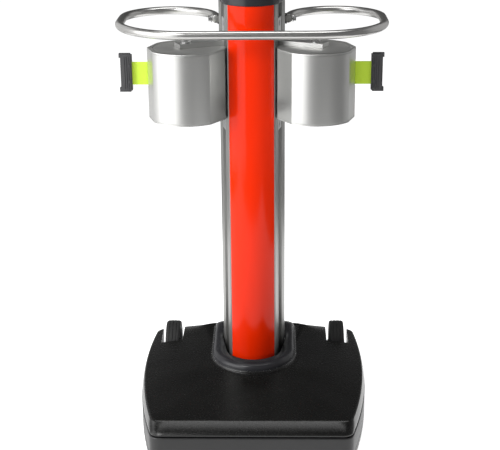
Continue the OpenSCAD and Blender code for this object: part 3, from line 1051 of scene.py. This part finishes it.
@dataclass
class Handle(Build):
    """The carrying handle: one tube bent round the column."""

    radius: float = 9.5 * MM
    corner: float = 160 * MM
    loop: float = 107.25 * MM

    def half_path(self) -> np.ndarray:
        """Right half of the tube's centre line in plan.

        A straight front bar, a quarter turn of radius corner, a short
        straight, and a half turn of radius loop that ends at the column.

        Returns:
            Points, shape (n, 2).
        """
        low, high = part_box("handle_rail")
        x = high.x - self.radius
        front = low.y + self.radius
        rear = high.y - self.radius - self.loop
        cx, cy = x - self.corner, front + self.corner
        a = np.linspace(-np.pi / 2, 0, 30)
        b = np.linspace(0, np.pi, 56)
        bar = np.stack((np.linspace(0, cx, 6)[:-1], np.full(5, front)), -1)
        bend = np.stack((cx + self.corner * np.cos(a),
                         cy + self.corner * np.sin(a)), -1)
        back = np.stack((x - self.loop + self.loop * np.cos(b),
                         rear + self.loop * np.sin(b)), -1)
        end = back[-1] + np.array([[0, -0.005], [0, -0.0125]])
        return np.r_[bar, bend, back, end]

    def build(self) -> None:
        """Carries a circle along the path; the ends are domed plugs."""
        low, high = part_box("handle_rail")
        z = (low.z + high.z) / 2
        half = self.half_path()
        line = np.r_[half[:0:-1] * (-1, 1), half]
        along = headings(line)
        radii = np.full(len(line), self.radius)
        first, last = line[0], line[-1]
        dome = np.array([0.0, 0.5, 1.0, 1.5]) * MM
        shrink = self.radius - np.array([0.0, 0.1, 0.5, 1.6]) * MM
        line = np.r_[first - dome[:0:-1, None] * along[0], line,
                     last + dome[1:, None] * along[-1]]
        radii = np.r_[shrink[:0:-1], radii, shrink[1:]]
        along = np.r_[np.repeat(along[:1], 3, 0), along,
                      np.repeat(along[-1:], 3, 0)]
        side = np.stack((along[:, 1], -along[:, 0]), -1)
        turn = full_turn(40)
        plan = (line[:, None] + side[:, None]
                * (radii[:, None] * np.cos(turn))[..., None])
        lift = z + radii[:, None] * np.sin(turn)
        tube = loft("handle_tube", np.concatenate((plan, lift[..., None]), 2),
                    sharp=60)
        self.settle(tube, TUBE, "stand", "rail_steel", "handle_rail")


@dataclass
class Cassette(Build):
    """One belt cassette: rolled shell, top plate, bracket and clip."""

    side: Side = Side.RIGHT
    wall: float = 2.4 * MM
    flats: tuple[Pair, ...] = (
        (18.2, 82.9), (-18.2, 82.9), (-147.0, 82.5), (167.6, 83.9),
    )

    def plan(self, inset: float, count: int = 300) -> np.ndarray:
        """Outline of the cassette: a circle with flats cut into it.

        Along angle a the edge lies at the least of the circle's radius and
        d / cos(a - b) for each flat b, d.

        Args:
            inset: Distance inside the outer skin.
            count: Number of points.

        Returns:
            Points, shape (count, 2).
        """
        low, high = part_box(self.side.node("cassette_top"))
        x, y = (low.x + high.x) / 2, (low.y + high.y) / 2
        turn = full_turn(count)
        reach = np.full(count, 87 * MM - inset)
        for lean, far in self.flats:
            tilt = np.cos(turn - math.radians(lean))
            cap = (far * MM - inset) / np.maximum(tilt, 0.3)
            reach = np.where(tilt > 0.3, np.minimum(reach, cap), reach)
        ray = rays(turn)
        spot = reach[:, None] * ray * (self.side.value, 1)
        return spot + (x, y)

    def build(self) -> None:
        """Builds the shell, the plate, the bracket and the end clip."""
        node = self.side.node
        low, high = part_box(node("cassette_shell"))
        loop = rounded(
            [(0, low.z), (0, high.z), (self.wall, high.z),
             (self.wall, low.z)], 0.5 * MM, 3,
        )
        rings = rings_at([self.plan(a) for a, _ in loop], [z for _, z in loop])
        shell = loft(node("rolled_shell"), rings, closed=True, sharp=11)
        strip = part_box(node("belt_tongue"))
        axis = (low + high) / 2
        far = [axis.x + self.side.value * v for v in (0.06, 0.1)]
        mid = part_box(node("arbor"))[0].y / 2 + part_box(node("arbor"))[1].y / 2
        cut(shell, block("mouth", (min(far), mid - 4 * MM,
                                   strip[0].z - 3 * MM),
                         (max(far), mid + 4 * MM, strip[1].z + 3 * MM)))
        shell.data.set_sharp_from_angle(angle=math.radians(11))
        self.settle(shell, CASSETTE, "stand", "cassette_steel",
                    node("cassette_shell"))
        self.build_plate()
        bracket = self.softened(node("bracket"), 0.8 * MM)
        self.settle(bracket, BRACKET, "stand", "bracket_aluminium",
                    node("bracket"))
        clip = self.softened(node("belt_clip"), 0.6 * MM)
        self.settle(clip, TEXTURED, node("belt_end"), "clip_plastic",
                    node("belt_clip"))

    def build_plate(self) -> None:
        """The top plate: a disc with an eased rim and a pressed ring."""
        low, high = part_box(self.side.node("cassette_top"))
        rim = [(0.4, 0), (0, 0.4), (0, -0.7), (0.25, -0.25), (0.8, 0),
               (9, 0), (10, -0.5), (11.5, -0.5), (12.5, 0), (60, 0)]
        plans = [self.plan(a * MM) for a, _ in rim]
        heights = [low.z, low.z + 0.4 * MM]
        heights += [high.z + z * MM for _, z in rim[2:]]
        plate = loft(self.side.node("top_plate"),
                     rings_at(plans, heights), sharp=40)
        self.settle(plate, PLATE, "stand", "plate_steel",
                    self.side.node("cassette_top"))


@dataclass
class Belt(Build):
    """The run of webbing from the roll to the end clip."""

    side: Side = Side.RIGHT
    thick: float = 1.3 * MM

    def path(self, reach: float) -> np.ndarray:
        """Centre line in plan, from the roll past the pins to the clip.

        A straight from the roll's tangent point, a quadratic bend at the
        guide pins and a straight out through the mouth; distances are from
        the cassette's axis.

        Args:
            reach: How far the strap goes out from that axis.

        Returns:
            Points, shape (n, 2).
        """
        t = np.linspace(0, 1, 12)[:, None]
        start, knee = np.array([(31.5, 35.9), (74.6, 0)]) * MM
        end = np.array([reach, 0])
        inward = (start - knee) / np.linalg.norm(start - knee)
        near, past = knee + inward * 2.5 * MM, knee + (2.5 * MM, 0)
        bend = (1 - t) ** 2 * near + 2 * t * (1 - t) * knee + t**2 * past
        run = past + (end - past) * np.linspace(0, 1, 40)[1:, None]
        lead = start + (near - start) * np.linspace(0, 1, 10)[:-1, None]
        return np.r_[lead, bend, run]

    def build(self) -> None:
        """Carries the strap's flat section, edges rounded, along the path.

        The woven selvedge is 0.2 mm thinner than the middle.
        """
        node = self.side.node
        low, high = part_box(node("cassette_top"))
        axis = np.array([(low.x + high.x) / 2, (low.y + high.y) / 2])
        near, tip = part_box(node("belt_tongue"))
        ends_x = (abs(near.x), abs(tip.x))
        line = self.path(max(ends_x) - abs(axis[0]) - 3 * MM)
        along = headings(line)
        across = np.stack((-along[:, 1], along[:, 0]), -1)
        v = np.r_[0.0, 0.006, 0.02, 0.05, np.linspace(0.08, 0.92, 12), 0.95,
                  0.98, 0.994, 1.0]
        edge = np.minimum(v, 1 - v)
        skin = self.thick / 2 * np.clip(0.45 + edge / 0.03, 0, 1)
        skin -= 0.12 * MM * np.exp(-((edge - 0.075) / 0.012) ** 2)
        shift = np.r_[skin, -skin[::-1]]
        level = np.r_[v, v[::-1]]
        plan = line[:, None] + across[:, None] * shift[None, :, None]
        plan = plan * (self.side.value, 1) + axis
        z = near.z + level * (tip.z - near.z)
        lift = np.broadcast_to(z, plan.shape[:2])
        rings = np.concatenate((plan, lift[..., None]), 2)
        gone = np.linalg.norm(np.diff(line, axis=0), axis=1)
        length = np.r_[0, np.cumsum(gone)]
        uv = np.stack(np.broadcast_arrays(length[:, None], level[None]), -1)
        strap = loft(node("belt_strap"), rings, uv=uv.reshape(-1, 2))
        dress(strap, BELT)
        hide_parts(node("belt_tongue"))
        mid = float(z.mean())
        s = self.side.value
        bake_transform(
            strap, "stand", node("belt_end"),
            start=(axis[0] + s * 89 * MM, axis[1], mid),
            end=(axis[0] + s * 115 * MM, axis[1], mid),
        )
        LOG.info("%s pays out between stand and clip", strap.name)


# ----------------------------------------------------------------- studio


def glowing(
    name: str, grey: float, rough: float, specular: float, glow: float
) -> bpy.types.Material:
    """A grey material with a white glow, for the studio's sheets.

    Args:
        name: Name of the material.
        grey: Level of its base colour.
        rough: Roughness.
        specular: Specular level.
        glow: Strength of the glow.

    Returns:
        The material.
    """
    mat = bpy.data.materials.new(name)
    mat.use_nodes = True
    shader = mat.node_tree.nodes["Principled BSDF"]
    shader.inputs["Base Color"].default_value = (grey, grey, grey, 1)
    shader.inputs["Roughness"].default_value = rough
    shader.inputs["Specular IOR Level"].default_value = specular
    shader.inputs["Emission Color"].default_value = (1, 1, 1, 1)
    shader.inputs["Emission Strength"].default_value = glow
    return mat


@dataclass
class Studio:
    """Camera, lights, floor and the cards that the metal reflects."""

    distance: float = 2.6
    height: float = 1.374
    pitch: float = 19.734
    swing: float = 1.2
    roll: float = -0.45
    lens: float = 85.3
    shift: float = -0.0058
    haze: float = 0.2
    gleam: float = 0.07

    def camera(self) -> None:
        """A long lens in front of the post, looking down a little."""
        data = bpy.data.cameras.new("view")
        data.lens, data.sensor_width = self.lens, 36.0
        data.shift_x = self.shift
        data.clip_end = 60.0
        eye = bpy.data.objects.new("view", data)
        turn = Matrix.Rotation(math.radians(self.swing), 4, "Z")
        back = turn @ Vector((0.0, -self.distance, 0.0))
        place = (back.x, POST_Y + back.y, self.height)
        tip = Matrix.Rotation(math.radians(90 - self.pitch), 4, "X")
        bank = Matrix.Rotation(math.radians(self.roll), 4, "Z")
        eye.matrix_world = Matrix.Translation(place) @ turn @ tip @ bank
        bpy.context.scene.collection.objects.link(eye)
        bpy.context.scene.camera = eye

    def lamp(
        self, name: str, place: Triple, size: Pair, power: float
    ) -> None:
        """A soft box aimed at the column.

        Args:
            name: Name of the lamp.
            place: Where it stands.
            size: Width and height.
            power: Power in watts.
        """
        data = bpy.data.lights.new(name, "AREA")
        data.shape, data.energy = "RECTANGLE", power
        data.size, data.size_y = size
        lamp = bpy.data.objects.new(name, data)
        lamp.location = place
        aim = Vector((0.0, POST_Y, 0.6)) - lamp.location
        lamp.rotation_euler = aim.to_track_quat("-Z", "Y").to_euler()
        bpy.context.scene.collection.objects.link(lamp)

    def sheet(
        self, name: str, low: Pair, high: Pair, level: float, glow: float
    ) -> bpy.types.Object:
        """A thin white sheet lying level, with a little glow of its own.

        Args:
            name: Name of the sheet.
            low: Its corner with the lowest x and y.
            high: The opposite corner.
            level: Height of its upper face.
            glow: Brightness of its glow.

        Returns:
            The staged sheet.
        """
        plan = np.array([low, (high[0], low[1]), high, (low[0], high[1])])
        made = loft(name, rings_at([plan, plan], [level - 0.02, level]))
        made.data.materials.append(glowing(name, 0.9, 0.85, 0.1, glow))
        return made

    def floor(self) -> None:
        """A wide pale floor, and the part of it that the gloss shows."""
        wide = self.sheet("floor", (-14, -14), (14, 14), -0.0002, 0.85)
        wide.visible_glossy = False
        shown = self.sheet("floor_gleam", (-1.7, -1.4), (1.2, 1.2), -0.03, 0.5)
        shown.visible_camera = shown.visible_diffuse = False
        shown.visible_shadow = False

    def card(
        self, name: str, turn: Pair, levels: Pair, radius: float, glow: float
    ) -> None:
        """A curved card that only reflections see.

        Args:
            name: Name of the card.
            turn: First and last azimuth in degrees; 0 is the camera's side
                and positive is to the right.
            levels: Lowest and highest point.
            radius: Distance from the post.
            glow: Brightness of the card.
        """
        a = np.radians(np.linspace(*turn, 24))
        arc = np.stack((radius * np.sin(a), -radius * np.cos(a)), -1)
        far = arc * ((radius + 0.01) / radius)
        plan = np.r_[arc, far[::-1]] + (0, POST_Y)
        made = loft(name, rings_at([plan, plan], list(levels)))
        made.data.materials.append(glowing(name, 0.0, 1.0, 0.0, glow))
        made.visible_camera = made.visible_shadow = False
        made.visible_diffuse = made.visible_transmission = False

    def sky(self) -> None:
        """A white surround that hardly shows in gloss and lights weakly."""
        world = bpy.data.worlds.new("studio")
        world.use_nodes = True
        tree = world.node_tree
        back = tree.nodes["Background"]
        back.inputs["Color"].default_value = (1, 1, 1, 1)
        path = tree.nodes.new("ShaderNodeLightPath")
        gloss = tree.nodes.new("ShaderNodeMapRange")
        gloss.inputs["To Min"].default_value = self.haze
        gloss.inputs["To Max"].default_value = self.gleam
        seen = tree.nodes.new("ShaderNodeMath")
        seen.operation = "MAXIMUM"
        tree.links.new(path.outputs["Is Glossy Ray"], gloss.inputs["Value"])
        tree.links.new(gloss.outputs["Result"], seen.inputs[0])
        tree.links.new(path.outputs["Is Camera Ray"], seen.inputs[1])
        tree.links.new(seen.outputs["Value"], back.inputs["Strength"])
        bpy.context.scene.world = world

    def light(self) -> None:
        """Soft key from the left, overhead box and the reflected cards."""
        self.sky()
        self.lamp("key", (-2.6, -1.35, 1.9), (1.0, 2.0), 88)
        self.lamp("overhead", (0.0, 0.1, 3.2), (2.4, 0.9), 24)
        self.lamp("front_left", (-0.9, -1.35, 2.3), (0.7, 0.35), 9)
        for name, turn, glow in (
            ("rear_left", (-150, -88), 0.7), ("left", (-88, -24), 1.7),
            ("middle", (-24, 22), 0.16), ("right", (22, 90), 0.2),
            ("rear_right", (90, 148), 0.5),
        ):
            self.card(f"card_{name}", turn, (0.0, 2.4), 2.0, glow)
        self.card("card_rear", (148, 210), (0.0, 0.62), 2.0, 0.55)
        view = bpy.context.scene.view_settings
        view.view_transform, view.look = "Standard", "None"


def finish_nodes(frame: dict) -> None:
    """Gives the CAD nodes that stay in view their finishes."""
    for name, obj in frame["nodes"].items():
        stem = name.removesuffix("_left").removesuffix("_right")
        if stem in NODE_FINISHES:
            dress(obj, NODE_FINISHES[stem])


def main(frame: dict) -> None:
    """Builds the whole post in order.
    """
    logging.basicConfig(level=logging.INFO, format="%(name)s: %(message)s")
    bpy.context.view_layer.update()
    studio = Studio()
    studio.camera()
    finish_nodes(frame)
    Base(frame).build()
    Wheels(frame).build()
    Column(frame).build()
    Handle(frame).build()
    for side in Side:
        Cassette(frame, side).build()
        Belt(frame, side).build()
    studio.floor()
    studio.light()


if __name__ == "__main__":
    main(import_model())
